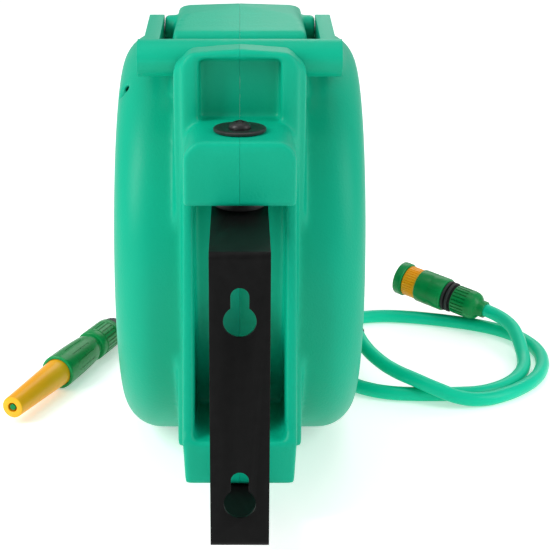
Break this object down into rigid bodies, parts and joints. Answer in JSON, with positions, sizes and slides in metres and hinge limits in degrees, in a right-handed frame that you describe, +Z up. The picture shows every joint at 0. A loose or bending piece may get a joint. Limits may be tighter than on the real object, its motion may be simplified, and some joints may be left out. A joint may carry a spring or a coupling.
{
  "type": "wall-mounted retractable hose reel",
  "caption": "Wall-mounted swivelling hose reel with a round closed case, strap wall bracket, folding carry handle, tap lead with quick connector and a straight nozzle.",
  "frame": {"origin": "on the wall face, at the middle of the bracket's plate", "axes": "+Z up, +Y away from the wall, +X to the right for someone who looks along +Y"},
  "size_m": [0.52, 0.6137, 0.3774],
  "materials": {
    "strap_paint": "satin black powder coat",
    "black_plastic": "fine satin",
    "rubber": "dull",
    "steel": "zinc plated",
    "spring_steel": "blued spring strip",
    "case_plastic": "fine moulded grain, satin",
    "inner_plastic": "plain moulded",
    "hose_pvc": "satin PVC",
    "fitting_green": "semi-gloss",
    "fitting_yellow": "semi-gloss"
  },
  "bodies": {
    "bracket": {"wall_bracket": "strap_paint", "upper_pivot_screw": "black_plastic", "pivot_washer": "black_plastic", "upper_pivot_nut": "steel", "lower_pivot_pin": "steel"},
    "case": {"upper_swivel_bush": "black_plastic", "lower_swivel_bush": "black_plastic", "mouth_frame": "black_plastic", "lead_relief": "black_plastic", "nozzle_nut": "black_plastic", "union_seals": "rubber", "hose_stop": "rubber", "connector_seals": "rubber", "shell_screws": "steel", "handle_pivot_pins": "steel", "axle": "steel", "pawl_pivot": "steel", "roller_pins": "steel", "rewind_spring": "spring_steel", "left_shell": "case_plastic", "right_shell": "case_plastic", "inlet_axle": "inner_plastic", "inlet_elbow": "inner_plastic", "lead_elbow": "inner_plastic", "spring_housing": "inner_plastic", "spring_cover": "inner_plastic", "inner_lead_hose": "hose_pvc", "hose_run": "hose_pvc", "outlet_hose": "hose_pvc", "lead_hose": "hose_pvc", "nozzle_connector": "fitting_green", "connector_nut": "fitting_green", "connector_body": "fitting_green"},
    "handle": {"carry_handle": "case_plastic"},
    "drum": {"drum_core": "inner_plastic", "drum_left_flange": "inner_plastic", "drum_right_flange": "inner_plastic", "wound_hose": "hose_pvc", "feed_spigot": "inner_plastic", "ratchet_wheel": "inner_plastic", "spring_arbor": "inner_plastic"},
    "pawl": {"ratchet_pawl": "steel"},
    "top_roller": {"roller_top": "inner_plastic"},
    "bottom_roller": {"roller_bottom": "inner_plastic"},
    "left_roller": {"roller_left": "inner_plastic"},
    "right_roller": {"roller_right": "inner_plastic"},
    "nozzle": {"nozzle_body": "fitting_green", "nozzle_stem": "fitting_green"},
    "barrel": {"nozzle_barrel": "fitting_yellow"},
    "collar": {"connector_collar": "fitting_yellow"},
    "adaptor": {"tap_adaptor": "fitting_green"}
  },
  "joints": [
    {"name": "case_swivel", "type": "hinge", "parent": "bracket", "child": "case", "pos_m": [0, 0.116, 0], "axis": [0, 0, 1], "range_deg": [-90, 90]},
    {"name": "handle_lift", "type": "hinge", "parent": "case", "child": "handle", "pos_m": [0, 0.29, 0.213], "axis": [-1, 0, 0], "range_deg": [0, 90]},
    {"name": "drum_spin", "type": "hinge", "parent": "case", "child": "drum", "pos_m": [0, 0.318, 0.029], "axis": [1, 0, 0], "continuous": true},
    {"name": "pawl_tilt", "type": "hinge", "parent": "case", "child": "pawl", "pos_m": [0.0713, 0.30202, 0.1196], "axis": [1, 0, 0], "range_deg": [0, 12], "stiffness_Nm_per_rad": 0.5},
    {"name": "top_roller_spin", "type": "hinge", "parent": "case", "child": "top_roller", "pos_m": [0, 0.4925, -0.06193], "axis": [1, 0, 0], "continuous": true},
    {"name": "bottom_roller_spin", "type": "hinge", "parent": "case", "child": "bottom_roller", "pos_m": [0, 0.4925, -0.08893], "axis": [1, 0, 0], "continuous": true},
    {"name": "left_roller_spin", "type": "hinge", "parent": "case", "child": "left_roller", "pos_m": [-0.0135, 0.5055, -0.07543], "axis": [0, 0, 1], "continuous": true},
    {"name": "right_roller_spin", "type": "hinge", "parent": "case", "child": "right_roller", "pos_m": [0.0135, 0.5055, -0.07543], "axis": [0, 0, 1], "continuous": true},
    {"name": "nozzle_turn", "type": "hinge", "parent": "case", "child": "nozzle", "pos_m": [-0.128, 0.485, -0.1282], "axis": [0.3577, 0.9338, 0], "continuous": true},
    {"name": "barrel_twist", "type": "hinge", "parent": "nozzle", "child": "barrel", "pos_m": [-0.205, 0.284, -0.1282], "axis": [0.3577, 0.9338, 0], "range_deg": [0, 270]},
    {"name": "collar_slide", "type": "slide", "parent": "case", "child": "collar", "axis": [0.7813, -0.6098, -0.1334], "range_m": [0, 0.0035], "stiffness_N_per_m": 500},
    {"name": "adaptor_turn", "type": "hinge", "parent": "case", "child": "adaptor", "pos_m": [0.174, 0.573, -0.104], "axis": [-0.7813, 0.6098, 0.1334], "continuous": true}
  ]
}
